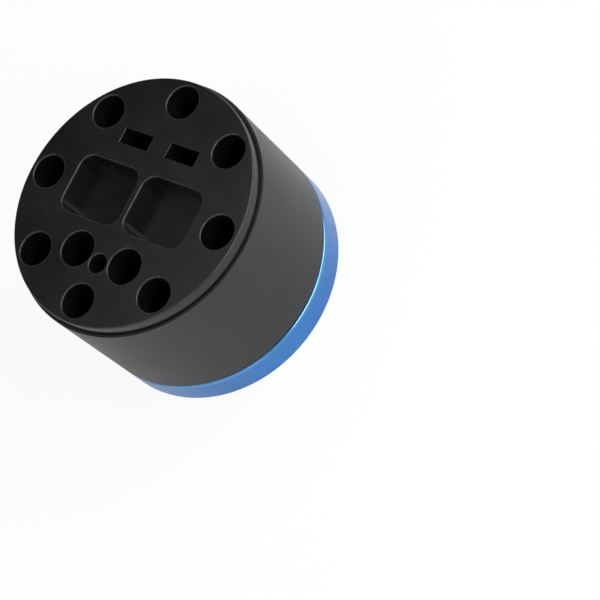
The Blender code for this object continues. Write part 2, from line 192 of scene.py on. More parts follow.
class HolderFaceSizes(bpy.types.PropertyGroup):
    """Sizes of the moulded insert and its pockets."""

    radius: length("Insert radius", "Outside radius of the insert", INSERT_HIGH.x, METRE)
    top: length("Face height", "Height of the face", INSERT_HIGH.z, METRE)
    foot: length("Skirt foot", "Height of the skirt's lower edge", INSERT_LOW.z, METRE)
    plate: length("Face thickness", "Thickness of the face", 2.4)
    skirt: length("Skirt wall", "Wall of the skirt", 1.5)
    wall: length("Pocket wall", "Wall round each pocket", 1.3)
    collar_gap: length("Collar gap", "Gap from collar's foot to sleeve", 0.10)
    collar_depth: length("Collar depth", "Depth of the collar's fit", 2.0)
    rim_edge: length("Face edge", "Rounding of the face's rim", 0.4)
    mouth: length("Mouth edge", "Rounding of each pocket's mouth", 0.42)
    deep_floor: length("Deep floor", "Height of the deep pockets' floor", 18.0)
    outer_hole: length("Outer hole", "Radius of the outer holes", 5.2)
    outer_circle: length("Hole circle", "Radius of the outer holes' circle", 32.2)
    inner_hole: length("Inner hole", "Radius of the two inner holes", 5.4)
    inner_x: length("Inner hole place", "Inner holes from the middle plane", 9.0)
    inner_y: length("Inner hole row", "Row of inner holes from the middle", 18.3)
    pin_hole: length("Small hole", "Radius of the small hole", 2.9)
    pin_y: length("Small hole row", "Small hole from the middle", 20.2)
    tray_width: length("Tray width", "Width of each tray", 22.0)
    tray_length: length("Tray length", "Length of each tray", 18.2)
    tray_corner: length("Tray corner", "Corner radius of each tray", 4.2)
    tray_depth: length("Tray depth", "Depth of each tray", 6.5)
    tray_x: length("Tray place", "Trays from the middle plane", 12.0)
    slot_width: length("Slot width", "Width of each slot", 10.5)
    slot_depth: length("Slot thickness", "Thickness of each slot", 4.8)
    slot_x: length("Slot place", "Slots from the middle plane", 8.7)
    slot_y: length("Slot row", "Row of slots from the middle", 17.5)
    slot_corner: length("Slot corner", "Corner radius of each slot", 0.15)
    slot_mouth: length("Slot mouth", "Rounding of each slot's mouth", 0.18)
    boss: length("Boss radius", "Radius of the screw bosses", 3.5)
    pilot: length("Pilot radius", "Radius of the pilot holes", 1.6)
    pilot_end: length("Pilot end", "Height of the pilots' ends", 24.1)
    outer_count: count("Outer holes", "Number of outer holes", 8)


class HolderPivotSizes(bpy.types.PropertyGroup):
    """Sizes of the bearing, the turntable and the screws."""

    pitch: length("Ball circle", "Radius of the circle of balls", 7.5)
    ball: length("Ball radius", "Radius of each ball", 1.9845)
    groove: length("Groove radius", "Radius of the ball grooves", 2.1045)
    ledge: length("Shield ledge", "Depth of a shield's ledge", 0.9)
    ledge_radius: length("Ledge radius", "Radius of a shield's ledge", 9.75)
    inner_shoulder: length("Inner shoulder", "Radius of the inner ring's shoulders", 6.1)
    outer_shoulder: length("Outer shoulder", "Radius of the outer ring's shoulders", 8.95)
    cage_inner: length("Cage inside", "Inside radius of the cage", 6.8)
    cage_outer: length("Cage outside", "Outside radius of the cage", 8.2)
    cage_pocket: length("Cage pocket", "Radius of the ball pockets", 2.165)
    ring_edge: length("Ring edge", "Rounding of the rings", 0.3)
    dome_radius: length("Dome radius", "Outside radius of the dome", 18.15)
    dome_inside: length("Dome inside", "Inside radius of the dome", 15.95)
    dome_roof: length("Dome roof", "Height of the dome's ceiling", 13.1)
    dome_top: length("Dome top", "Height of the dome's upper face", 15.5)
    plate_top: length("Turntable top", "Height of the turntable's upper face", 13.2)
    shoulder: length("Journal shoulder", "Radius of the journal's shoulder", 5.7)
    journal: length("Journal radius", "Radius of the journal", 3.85)
    ring_bore: length("Bearing bore", "Radius of the bearing's bore", 4.0)
    seat_gap: length("Seat gap", "Gap from shoulder to inner ring", 0.15)
    shield_gap: length("Shield gap", "Gap from shield to inner ring", 0.3)
    shield_edge: length("Shield edge", "Rounding of the shields", 0.1)
    cage_edge: length("Cage edge", "Rounding of the cage", 0.15)
    floor_edge: length("Turntable edge", "Rounding of the turntable", 0.25)
    screw_hole: length("Screw hole", "Radius of the pan screw's hole", 2.15)
    screw_hole_end: length("Screw hole end", "Height of the screw hole's end", 13.8)
    washer_edge: length("Washer edge", "Rounding of the washer", 0.12)
    pan_height: length("Pan head", "Height of the pan screw's head", 2.2)
    pan_round: length("Pan head edge", "Rounding of the pan screw's head", 1.0)
    pan_shank: length("Pan screw shank", "Radius of the pan screw's thread", 2.0)
    pan_pitch: length("Pan screw pitch", "Pitch of the pan screw's thread", 0.7)
    case_shank: length("Case screw shank", "Radius of the case screws' thread", 1.45)
    case_pitch: length("Case screw pitch", "Pitch of the case screws' thread", 0.9)
    sink_radius: length("Countersink", "Radius of the countersinks", 2.95)
    recess_width: length("Recess width", "Width of the recess's arms", 0.9)
    recess_depth: length("Recess depth", "Depth of the driver recess", 1.2)
    recess_corner: length("Recess corner", "Rounding of the recess's corners", 0.2)
    recess_reach: FloatProperty(
        name="Recess reach", description="Recess across, by head radius", default=1.16, min=0.1
    )
    ball_count: count("Balls", "Number of balls", 7)
    screw_count: count("Case screws", "Number of case screws", 4)


class HolderFinishes(bpy.types.PropertyGroup):
    """Colours of the finishes."""

    blue: colour("Blue anodising", "Colour of the base", 0.006, 0.165, 0.500)
    blue_light: colour("Blue anodising, light", "Lighter tone in the base", 0.012, 0.215, 0.580)
    # Lighter blue on the base's upper edge rounding: a painted highlight.
    blue_edge_glint: colour("Blue anodising, worn", "Tone of the base's rubbed edge", 0.05, 0.28, 0.62)
    sleeve: colour("Black anodising", "Colour of the sleeve", 0.0160, 0.0160, 0.0164)
    sleeve_light: colour("Black anodising, light", "Lighter tone in the sleeve", 0.0215, 0.0215, 0.0219)
    sleeve_speck: colour("Black anodising, specks", "Specks in the sleeve", 0.10)
    # Lighter tone on the sleeve's inner lip rounding: a painted highlight.
    sleeve_edge_glint: colour("Black anodising, worn", "Tone of the sleeve's rubbed edge", 0.075)
    moulding: colour("Black moulding", "Colour of the insert", 0.0034, 0.0034, 0.0035)
    moulding_light: colour("Black moulding, light", "Lighter tone in the insert", 0.0056, 0.0056, 0.0057)
    moulding_speck: colour("Black moulding, specks", "Specks in the insert", 0.04)
    # Lighter tone on the insert's rim and pocket mouth roundings: a painted highlight.
    moulding_edge_glint: colour("Black moulding, worn", "Tone of the insert's rubbed edges", 0.018)
    floor_moulding: colour("Floor moulding", "Colour of the turntable", 0.020)
    silicone: colour("Silicone", "Colour of the grip pad", 0.022, 0.022, 0.024)
    silicone_speck: colour("Silicone, specks", "Specks in the grip pad", 0.12)
    steel: colour("Bearing steel", "Colour of rings and balls", 0.62, 0.62, 0.63)
    shield: colour("Shield steel", "Colour of the shields", 0.50, 0.50, 0.51)
    nylon: colour("Nylon", "Colour of the cage", 0.66, 0.60, 0.45)
    zinc: colour("Zinc plating", "Colour of the screws", 0.56, 0.57, 0.60)
    stage: colour("Floor", "Colour of the stage", 0.90)


def sizes():
    """The body, face and pivot sizes of the scene."""
    scene = bpy.context.scene
    return scene.holder_body, scene.holder_face, scene.holder_pivot


def object_mode():
    """Leaves edit mode and deselects everything."""
    if bpy.context.object and bpy.context.object.mode != "OBJECT":
        bpy.ops.object.mode_set(mode="OBJECT")
    bpy.ops.object.select_all(action="DESELECT")


def work_on(piece):
    """Makes a piece the only one selected and active."""
    object_mode()
    piece.select_set(True)
    bpy.context.view_layer.objects.active = piece
    return piece


def named(name):
    """Names the piece just added and moves its place into its mesh."""
    piece = bpy.context.object
    piece.name = name
    piece.data.name = name
    bpy.ops.object.transform_apply(location=True, rotation=True, scale=True)
    return piece


def edit(piece, action):
    """Opens a piece's edges in edit mode, all selected or none."""
    work_on(piece)
    bpy.ops.object.mode_set(mode="EDIT")
    bpy.ops.mesh.select_mode(type="EDGE")
    bpy.ops.mesh.select_all(action=action)


def turned(name, outline, solid=False, steps=ROUND_STEPS):
    """A round piece, each ring extruded from the last and scaled: a solid with flat ends, or a tube."""
    object_mode()
    radius, height = outline[0]
    fill = "NGON" if solid else "NOTHING"
    bpy.ops.mesh.primitive_circle_add(vertices=steps, radius=radius, fill_type=fill, location=(0, 0, height))
    piece = named(name)
    edit(piece, "SELECT")
    if solid:
        bpy.ops.mesh.region_to_loop()
    for next_radius, next_height in outline[1:] if solid else [*outline[1:], outline[0]]:
        bpy.ops.mesh.extrude_edges_move(TRANSFORM_OT_translate={"value": (0, 0, next_height - height)})
        if abs(next_radius - radius) > SAME:
            share = next_radius / radius
            bpy.ops.transform.resize(value=(share, share, 1), center_override=(0, 0, next_height))
        radius, height = next_radius, next_height
    if solid:
        bpy.ops.mesh.edge_face_add()
    close_mesh()
    return piece


def close_mesh():
    """Welds coincident points and turns the faces outwards, in edit mode."""
    bpy.ops.mesh.select_all(action="SELECT")
    bpy.ops.mesh.remove_doubles(threshold=WELD)
    bpy.ops.mesh.normals_make_consistent(inside=False)
    bpy.ops.object.mode_set(mode="OBJECT")


def on_ring(edge, radius, height):
    """True where both ends of an edge lie on one ring of a turned piece."""
    return all(
        abs(v.co.z - height) < NEAR and abs(math.hypot(v.co.x, v.co.y) - radius) < NEAR for v in edge.verts
    )


def mark_edge_glint(piece):
    """Marks the faces of the rounding just made for a lighter tone that paints a highlight, in edit mode."""
    bm = bmesh.from_edit_mesh(piece.data)
    layers = bm.faces.layers.float
    worn = layers.get("worn") or layers.new("worn")
    for strip in bm.faces:
        if strip.select and abs(strip.normal.z) < LEVEL:
            strip[worn] = 1.0
    bmesh.update_edit_mesh(piece.data)


def round_edges(piece, wanted, width, segments=3, worn=False):
    """Rounds the edges of a piece that a test picks out."""
    edit(piece, "DESELECT")
    bm = bmesh.from_edit_mesh(piece.data)
    picked = [edge for edge in bm.edges if wanted(edge)]
    if not picked:
        raise RuntimeError(f"{piece.name}: no edge to round")
    for edge in picked:
        edge.select_set(True)
    bmesh.update_edit_mesh(piece.data)
    bpy.ops.mesh.bevel(offset=width, segments=segments, affect="EDGES")
    if worn:
        mark_edge_glint(piece)
    object_mode()


def round_rings(piece, rings, width, segments=3, worn=False):
    """Rounds the edges of a turned piece that lie on the given rings."""
    round_edges(piece, lambda edge: any(on_ring(edge, r, z) for r, z in rings), width, segments, worn)


def bar(name, radius, low, high, steps=HOLE_STEPS):
    """A round bar on the axis, used to add to or cut a piece."""
    object_mode()
    bpy.ops.mesh.primitive_cylinder_add(
        vertices=steps, radius=radius, depth=high - low, location=(0, 0, (low + high) / 2)
    )
    return named(name)


def block(name, width, depth, low, high, corner):
    """A block on the axis with round upright edges, used to add to or cut a piece."""
    object_mode()
    middle = (low + high) / 2
    bpy.ops.mesh.primitive_cube_add(size=1, location=(0, 0, middle), scale=(width, depth, high - low))
    piece = named(name)
    if corner > 0:
        round_edges(
            piece, lambda edge: abs(edge.verts[0].co.z - edge.verts[1].co.z) > NEAR, corner, CORNER_STEPS
        )
    return piece


def copies(pattern, places):
    """Copies a pattern to each place, every copy with its own mesh, and removes the pattern."""
    made = []
    for i, place in enumerate(places):
        work_on(pattern)
        bpy.ops.object.duplicate()
        bpy.context.object.location = place
        made.append(named(f"{pattern.name}_{i + 1}"))
    work_on(pattern)
    bpy.ops.object.delete()
    return made


def combine(piece, tools, operation):
    """Adds tools to a piece or cuts them from it, then removes them."""
    tool = work_on(tools[0])
    for other in tools[1:]:
        other.select_set(True)
    if len(tools) > 1:
        bpy.ops.object.join()
    work_on(piece)
    bpy.ops.object.modifier_add(type="BOOLEAN")
    change = piece.modifiers[-1]
    change.operation = operation
    change.solver = "EXACT"
    change.object = tool
    bpy.ops.object.modifier_apply(modifier=change.name)
    work_on(tool)
    bpy.ops.object.delete()


def clean_cut(piece):
    """Welds the slivers that a curved cut leaves and splits the cut faces into even triangles."""
    edit(piece, "SELECT")
    bpy.ops.mesh.remove_doubles(threshold=SLIVER)
    bpy.ops.mesh.quads_convert_to_tris(quad_method="BEAUTY", ngon_method="BEAUTY")
    object_mode()


def finished(piece, body, slot, *nodes):
    """Shades a piece, gives it the finish of its slot and puts it on its body in place of its solids."""
    edit(piece, "SELECT")
    close_mesh()
    bpy.ops.object.shade_smooth_by_angle(angle=SMOOTH_ANGLE)
    bpy.ops.object.modifier_add(type="WEIGHTED_NORMAL")
    weighted = piece.modifiers[-1]
    weighted.keep_sharp = True
    weighted.weight = FACE_WEIGHT
    bpy.ops.object.modifier_apply(modifier=weighted.name)
    piece.data.materials.clear()
    piece.data.materials.append(finish(slot))
    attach(piece, body)
    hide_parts(*nodes)


def stepped(*path):
    """A square-cut outline: a radius and a height, then in turn the next radius and height."""
    return [(path[i], path[i + 1]) if i % 2 == 0 else (path[i + 1], path[i]) for i in range(len(path) - 1)]


def around(count, radius, turn=0.0, height=0.0):
    """Evenly spaced places on a circle, turned by a share of one step."""
    angles = [2 * math.pi / count * (i + turn) for i in range(count)]
    return [(radius * math.cos(angle), radius * math.sin(angle), height) for angle in angles]


def both_sides(x, y):
    """Two places, one on each side of the middle plane."""
    return [(-x, y, 0.0), (x, y, 0.0)]


def arc(middle, radius, start, end, steps):
    """Points on an arc with both ends, angles in degrees."""
    angles = [math.radians(start + (end - start) * i / steps) for i in range(steps + 1)]
    return [(middle[0] + radius * math.cos(a), middle[1] + radius * math.sin(a)) for a in angles]


def case_places():
    """Places of the case screws, between the outer holes."""
    _, face, pivot = sizes()
    return around(pivot.screw_count, face.outer_circle, pivot.screw_count / face.outer_count / 2)


def feed(tree, node, inputs):
    """Sets each input of a node to a value, or links it where a socket is given."""
    for key, value in inputs.items():
        if isinstance(value, bpy.types.NodeSocket):
            tree.links.new(value, node.inputs[key])
        else:
            node.inputs[key].default_value = value


def add(tree, kind, inputs=None, **settings):
    """Adds a shader node with its settings and inputs, and gives its outputs."""
    node = tree.nodes.new(f"ShaderNode{kind}")
    for name, value in settings.items():
        setattr(node, name, value)
    feed(tree, node, inputs or {})
    return node.outputs


def noise(tree, vector, scale, detail=2.0, roughness=0.5):
    """A noise texture on the given coordinates."""
    inputs = {"Vector": vector, "Scale": scale, "Detail": detail, "Roughness": roughness}
    return add(tree, "TexNoise", inputs)["Fac"]


def ramp(tree, value, low, high, start=0.0, end=1.0):
    """Maps a value from one range to another, clamped."""
    inputs = {"Value": value, "From Min": low, "From Max": high, "To Min": start, "To Max": end}
    return add(tree, "MapRange", inputs)["Result"]


def math_node(tree, operation, first, second=0.0):
    """A math node on sockets or numbers."""
    return add(tree, "Math", {0: first, 1: second}, operation=operation)["Value"]


def mix_colours(tree, factor, first, second):
    """Mixes two colours, given as values or sockets, by a factor."""
    return add(tree, "Mix", {"Factor": factor, 6: first, 7: second}, data_type="RGBA")[2]


def bump(tree, height, strength, depth):
    """A normal that follows a height."""
    return add(tree, "Bump", {"Strength": strength, "Distance": depth, "Height": height})["Normal"]


def place_on_piece(tree):
    """The three coordinates of a point on the piece."""
    return add(tree, "SeparateXYZ", {"Vector": add(tree, "TexCoord")["Object"]})


def new_group(name, inputs, outputs):
    """An empty shader node group with named value sockets."""
    group = bpy.data.node_groups.new(name, "ShaderNodeTree")
    for socket, value in inputs.items():
        made = group.interface.new_socket(name=socket, in_out="INPUT", socket_type="NodeSocketFloat")
        made.default_value = value
    for socket in outputs:
        group.interface.new_socket(name=socket, in_out="OUTPUT", socket_type="NodeSocketFloat")
    return group, group.nodes.new("NodeGroupInput").outputs, group.nodes.new("NodeGroupOutput")


def satin_group():
    """Fine grain, slow mottling and sparse specks of blasted and moulded surfaces, and the marked edges that
    get a painted highlight.
    """
    name = "satin_surface"
    if name in bpy.data.node_groups:
        return bpy.data.node_groups[name]
    scales = {"Grain Scale": 4000.0, "Mottle Scale": 60.0, "Speck Scale": 900.0}
    group, given, sink = new_group(name, scales, ("Grain", "Mottle", "Specks", "Wear"))
    where = add(group, "TexCoord")["Object"]
    dots = add(group, "TexVoronoi", {"Vector": where, "Scale": given["Speck Scale"]})["Distance"]
    patches = ramp(group, noise(group, where, SPECK_PATCH_SCALE), *SPECK_PATCH)
    # Marked edge roundings in uneven patches, where a lighter tone paints a highlight.
    edges = add(group, "Attribute", attribute_name="worn")["Fac"]
    uneven = ramp(group, noise(group, where, EDGE_GLINT_SCALE, detail=3.0), *EDGE_GLINT_PATCH, start=EDGE_GLINT_LEAST)
    feed(group, sink, {
        "Grain": noise(group, where, given["Grain Scale"], detail=3.0, roughness=0.6),
        "Mottle": noise(group, where, given["Mottle Scale"], detail=4.0, roughness=0.55),
        "Specks": math_node(group, "MULTIPLY", ramp(group, dots, *SPECK_RIM), patches),
        "Wear": math_node(group, "MULTIPLY", edges, uneven),
    })
    return group


def turning_group():
    """Fine rings left by turning, from the distance to the axis and the height."""
    name = "turning_lines"
    if name in bpy.data.node_groups:
        return bpy.data.node_groups[name]
    group, given, sink = new_group(name, {"Pitch Scale": 9000.0}, ("Lines", "Tone"))
    place = place_on_piece(group)
    squares = [math_node(group, "MULTIPLY", place[axis], place[axis]) for axis in "XY"]
    radius = math_node(group, "SQRT", math_node(group, "ADD", *squares))
    profile = add(group, "CombineXYZ", {"X": radius, "Y": place["Z"]})["Vector"]
    lines = noise(group, profile, given["Pitch Scale"], roughness=0.6)
    feed(group, sink, {"Lines": lines, "Tone": noise(group, profile, RING_SCALE)})
    return group


def tint(name, share=1.0):
    """A colour of the scene's finishes, or a share of it."""
    rgb = getattr(bpy.context.scene.holder_finish, name)[:3]
    return (*(share * value for value in rgb), 1.0)


def principled(name):
    """The nodes of a new material and its Principled shader."""
    material = bpy.data.materials.new(name)
    material.use_nodes = True
    return material.node_tree, material.node_tree.nodes["Principled BSDF"]


def satin(
    name, dark, light, rough, grain,
    metallic=0.0, speck=None, worn=None, coat=0.0, shine=0.5, smooth_below=None,
):
    """A blasted or moulded finish: two tones, fine grain, uneven gloss, specks, a painted highlight on marked
    edges and polish low down.
    """
    tree, shader = principled(name)
    scale, strength, depth = grain
    surface = add(tree, "Group", {"Grain Scale": scale}, node_tree=satin_group())
    base = mix_colours(tree, ramp(tree, surface["Mottle"], *MOTTLE_TONE), tint(*dark), tint(*light))
    if speck:
        base = mix_colours(tree, surface["Specks"], base, tint(speck))
    if worn:
        # A lighter tone on the marked edges paints a highlight; the coat is thicker there too.
        base = mix_colours(tree, surface["Wear"], base, tint(worn))
    if worn and coat:
        coat = ramp(tree, surface["Wear"], *EDGE_GLINT_COAT, coat, 1.0)
    roughness = ramp(tree, surface["Mottle"], *MOTTLE_GLOSS, *rough)
    if smooth_below:
        height = place_on_piece(tree)["Z"]
        polish = ramp(tree, height, smooth_below, smooth_below - POLISH_FADE, end=POLISH)
        roughness = math_node(tree, "SUBTRACT", roughness, polish)
    feed(tree, shader, {
        "Base Color": base,
        "Roughness": roughness,
        "Metallic": metallic,
        "Specular IOR Level": shine,
        "Coat Weight": coat,
        "Coat Roughness": COAT_ROUGHNESS,
        "Coat IOR": OXIDE_IOR,
        "Normal": bump(tree, surface["Grain"], strength, depth),
    })


def ringed(name, metal, rough, strength, pitch):
    """Bright turned or ground metal with fine rings."""
    tree, shader = principled(name)
    surface = add(tree, "Group", {"Pitch Scale": pitch}, node_tree=turning_group())
    tone = ramp(tree, surface["Tone"], *RING_TONE)
    feed(tree, shader, {
        "Base Color": mix_colours(tree, tone, tint(metal, RING_DARK), tint(metal)),
        "Roughness": ramp(tree, surface["Lines"], *RING_GLOSS, *rough),
        "Metallic": 1.0,
        "Normal": bump(tree, surface["Lines"], strength, RING_DEPTH),
    })


# By slot: the material and what it is made from. A tone is a colour of the finishes and a share of it;
# grain is its scale, strength and depth; the edge tone is a lighter colour on rounded edges, a painted
# highlight.
SATIN = {
    "blue_anodised": dict(
        name="blue_anodised_aluminium", dark=("blue", 1), light=("blue_light", 1), rough=(0.28, 0.36),
        grain=(5200.0, 0.22, 4e-5), metallic=1.0, worn="blue_edge_glint", coat=0.5,
    ),
    "black_anodised": dict(
        name="black_anodised_aluminium", dark=("sleeve", 1), light=("sleeve_light", 1), rough=(0.33, 0.42),
        grain=(4600.0, 0.25, 4e-5), speck="sleeve_speck", worn="sleeve_edge_glint", shine=0.34,
    ),
    "black_moulding": dict(
        name="black_moulded_plastic", dark=("moulding", 1), light=("moulding_light", 1), rough=(0.22, 0.30),
        grain=(3000.0, 0.2, 4e-5), speck="moulding_speck", worn="moulding_edge_glint",
        smooth_below=INSERT_HIGH.z - POLISH_FADE,
    ),
    "floor_moulding": dict(
        name="matte_floor_plastic", dark=("floor_moulding", 1), light=("floor_moulding", 1.4),
        rough=(0.55, 0.65), grain=(2500.0, 0.3, 5e-5),
    ),
    "silicone": dict(
        name="dark_silicone", dark=("silicone", 1), light=("silicone", 1.5), rough=(0.70, 0.82),
        grain=(2200.0, 0.4, 6e-5), speck="silicone_speck",
    ),
    "nylon": dict(
        name="natural_nylon", dark=("nylon", 0.85), light=("nylon", 1), rough=(0.45, 0.55),
        grain=(3000.0, 0.15, 3e-5),
    ),
    "zinc_steel": dict(
        name="zinc_plated_steel", dark=("zinc", 0.85), light=("zinc", 1), rough=(0.28, 0.40),
        grain=(3800.0, 0.15, 3e-5), metallic=1.0,
    ),
}
RINGED = {
    "bearing_steel": dict(
        name="ground_bearing_steel", metal="steel", rough=(0.14, 0.24), strength=0.15, pitch=9000.0
    ),
    "shield_steel": dict(
        name="pressed_shield_steel", metal="shield", rough=(0.32, 0.45), strength=0.2, pitch=5000.0
    ),
}


def finish(slot):
    """The material of a slot, made when it is first asked for."""
    make, settings = (ringed, RINGED[slot]) if slot in RINGED else (satin, SATIN[slot])
    if settings["name"] not in bpy.data.materials:
        make(**settings)
    return bpy.data.materials[settings["name"]]


class HOLDER_OT_base_plate(bpy.types.Operator):
    """Turned blue base with the pad recess and the bearing housing"""

    bl_idname = "holder.base_plate"
    bl_label = "Base Plate"

    def execute(self, context):
        body, _, _ = sizes()
        recess = PAD_HIGH.x + body.pad_gap
        housing_top = BASE_HIGH.z
        outline = stepped(
            body.access_radius, body.recess_roof,
            recess, body.base_foot,
            body.radius, body.base_top,
            body.housing_radius, housing_top,
            body.seat_radius, body.seat_floor,
            body.access_radius,
        )
        piece = turned("blue_base", outline)
        # The upper edge rounding gets the lighter tone, a painted highlight.
        round_rings(piece, [(body.radius, body.base_top)], body.base_round, segments=6, worn=True)
        round_rings(piece, [(body.radius, body.base_foot)], body.base_chamfer)
        under = [(recess, body.base_foot), (body.access_radius, body.recess_roof)]
        top = [(body.housing_radius, housing_top), (body.seat_radius, housing_top)]
        round_rings(piece, under + top, body.housing_edge, segments=2)
        finished(piece, "base", "blue_anodised", "base_plate")
        return {"FINISHED"}


class HOLDER_OT_grip_pad(bpy.types.Operator):
    """Silicone disc with ringed underside"""

    bl_idname = "holder.grip_pad"
    bl_label = "Grip Pad"

    def execute(self, context):
        body, _, _ = sizes()
        radius, low, deep = PAD_HIGH.x, PAD_LOW.z, PAD_LOW.z + body.pad_groove
        outline = [(radius, PAD_HIGH.z), (radius, low)]
        edge = radius - PAD_RIM * body.pad_rib
        while edge > PAD_MIDDLE * body.pad_rib:
            inner = edge - body.pad_rib / 2
            outline += [(edge, low), (edge, deep), (inner, deep), (inner, low)]
            edge -= PAD_STEP * body.pad_rib
        piece = turned("grip_disc", outline, solid=True)
        round_rings(piece, [(radius, low)], body.pad_edge)
        finished(piece, "base", "silicone", "grip_pad")
        return {"FINISHED"}


class HOLDER_OT_turntable(bpy.types.Operator):
    """Floor of the drum with its dome and journal"""

    bl_idname = "holder.turntable"
    bl_label = "Turntable"

    def execute(self, context):
        _, face, pivot = sizes()
        low, journal_end, cap = SLEEVE_LOW.z, TABLE_LOW.z, TABLE_HIGH.z
        radius, seat = TABLE_HIGH.x, INNER_HIGH.z + pivot.seat_gap
        profile = stepped(
            pivot.shoulder, pivot.dome_top,
            pivot.dome_radius, pivot.plate_top,
            radius, low,
            pivot.dome_inside, pivot.dome_roof,
            pivot.shoulder, seat,
            pivot.journal, journal_end,
            pivot.screw_hole, pivot.screw_hole_end,
        )
        piece = turned("drum_floor", [(pivot.shoulder, cap), *profile], solid=True)
        ends = [(pivot.shoulder, cap), (pivot.dome_radius, pivot.dome_top)]
        rim = [(radius, low), (radius, pivot.plate_top)]
        round_rings(piece, ends + rim, pivot.floor_edge, segments=2)
        hole = bar("screw_way", face.pilot, low - MM, pivot.plate_top + MM, SMALL_STEPS)
        combine(piece, copies(hole, case_places()), "DIFFERENCE")
        rise = pivot.sink_radius - face.pilot
        object_mode()
        bpy.ops.mesh.primitive_cone_add(
            vertices=SMALL_STEPS, radius1=pivot.sink_radius + MM, radius2=face.pilot,
            depth=rise + MM, location=(0, 0, low + (rise - MM) / 2),
        )
        combine(piece, copies(named("screw_sink"), case_places()), "DIFFERENCE")
        finished(piece, "drum", "floor_moulding", "turntable")
        return {"FINISHED"}


class HOLDER_OT_bearing(bpy.types.Operator):
    """Rings, shields, cage and balls of the bearing"""

    bl_idname = "holder.bearing"
    bl_label = "Ball Bearing"

    def execute(self, context):
        _, _, pivot = sizes()
        middle = (pivot.pitch, (INNER_LOW.z + INNER_HIGH.z) / 2)
        self.rings(pivot, middle)
        self.shields(pivot)
        self.cage_and_balls(pivot, middle)
        return {"FINISHED"}

    def rings(self, pivot, middle):
        """Both rings with their ball grooves."""
        low, high = INNER_LOW.z, INNER_HIGH.z
        bore, outside = pivot.ring_bore, OUTER_HIGH.x
        inner_angle = math.degrees(math.acos((pivot.pitch - pivot.inner_shoulder) / pivot.groove))
        outer_angle = math.degrees(math.acos((pivot.outer_shoulder - pivot.pitch) / pivot.groove))
        inner = [
            (bore, low),
            (pivot.inner_shoulder, low),
            *arc(middle, pivot.groove, 180 + inner_angle, 180 - inner_angle, GROOVE_STEPS),
            (pivot.inner_shoulder, high),
            (bore, high),
        ]
        outer = [
            (outside, low),
            *stepped(outside, high, pivot.ledge_radius, high - pivot.ledge, pivot.outer_shoulder),
            *arc(middle, pivot.groove, outer_angle, -outer_angle, GROOVE_STEPS),
            *stepped(pivot.outer_shoulder, low + pivot.ledge, pivot.ledge_radius, low),
        ]
        made = turned("race_inner", inner, steps=RING_STEPS)
        round_rings(made, [(bore, low), (bore, high)], pivot.ring_edge)
        finished(made, "drum", "bearing_steel", "bearing_inner_ring")
        made = turned("race_outer", outer, steps=RING_STEPS)
        round_rings(made, [(outside, low), (outside, high)], pivot.ring_edge)
        finished(made, "base", "bearing_steel", "bearing_outer_ring")

    def shields(self, pivot):
        """The thin discs that close the bearing."""
        nodes = ("bearing_shield_lower", "bearing_shield_upper")
        feet = [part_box(node)[0].z for node in nodes]
        low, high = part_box(nodes[0])
        rim, lip, thick = high.x, pivot.inner_shoulder + pivot.shield_gap, high.z - low.z
        edges = stepped(lip, 0.0, rim, thick, lip)
        pattern = turned("shield", edges, steps=RING_STEPS)
        round_rings(pattern, edges, pivot.shield_edge, segments=2)
        for node, shield in zip(nodes, copies(pattern, [(0, 0, foot) for foot in feet])):
            finished(shield, "base", "shield_steel", node)

    def cage_and_balls(self, pivot, middle):
        """The balls and the cage that spaces them."""
        low, high = CAGE_LOW.z, CAGE_HIGH.z
        outline = stepped(pivot.cage_inner, low, pivot.cage_outer, high, pivot.cage_inner)
        cage = turned("ball_cage", outline, steps=CAGE_STEPS)
        round_rings(cage, [(pivot.cage_inner, high), (pivot.cage_outer, high)], pivot.cage_edge, segments=2)
        places = around(pivot.ball_count, pivot.pitch, height=middle[1])
        pocket = self.ball("pocket", pivot.cage_pocket)
        pocket.rotation_euler = POCKET_TURN
        combine(cage, copies(pocket, places), "DIFFERENCE")
        clean_cut(cage)
        finished(cage, "cage", "nylon", "bearing_cage")
        for i, ball in enumerate(copies(self.ball("ball", pivot.ball), places)):
            finished(ball, f"ball_{i + 1}", "bearing_steel", f"bearing_ball_{i + 1}")

    def ball(self, name, radius):
        """A ball made from an evenly divided cube."""
        object_mode()
        bpy.ops.mesh.primitive_cube_add(size=2 * radius)
        piece = bpy.context.object
        edit(piece, "SELECT")
        bpy.ops.mesh.subdivide(number_cuts=BALL_CUTS)
        bpy.ops.object.mode_set(mode="OBJECT")
        bpy.ops.object.modifier_add(type="CAST")
        cast = piece.modifiers[-1]
        cast.cast_type = "SPHERE"
        cast.factor = 1.0
        cast.size = radius
        cast.use_radius_as_size = False
        bpy.ops.object.modifier_apply(modifier=cast.name)
        return named(name)


class HOLDER_OT_retainer(bpy.types.Operator):
    """Washer and pan head screw under the bearing"""

    bl_idname = "holder.retainer"
    bl_label = "Retaining Screw"

    def execute(self, context):
        low, high, rim = WASHER_LOW.z, WASHER_HIGH.z, WASHER_HIGH.x
        _, _, pivot = sizes()
        edges = stepped(pivot.screw_hole, low, rim, high, pivot.screw_hole)
        washer = turned("clamp_washer", edges, steps=RING_STEPS)
        round_rings(washer, edges, pivot.washer_edge, segments=2)
        finished(washer, "drum", "zinc_steel", "retaining_washer")
        low, top, head = RETAINER_LOW.z, RETAINER_HIGH.z, RETAINER_HIGH.x
        under = low + pivot.pan_height
        outline = [(head, low), (head, under), *thread(pivot.pan_shank, under, top, pivot.pan_pitch)]
        screw = turned("pan_screw", outline, solid=True, steps=SMALL_STEPS)
        round_rings(screw, [(head, low)], pivot.pan_round, segments=6)
        cut_cross(screw, low, head)
        finished(screw, "drum", "zinc_steel", "retaining_screw")
        return {"FINISHED"}


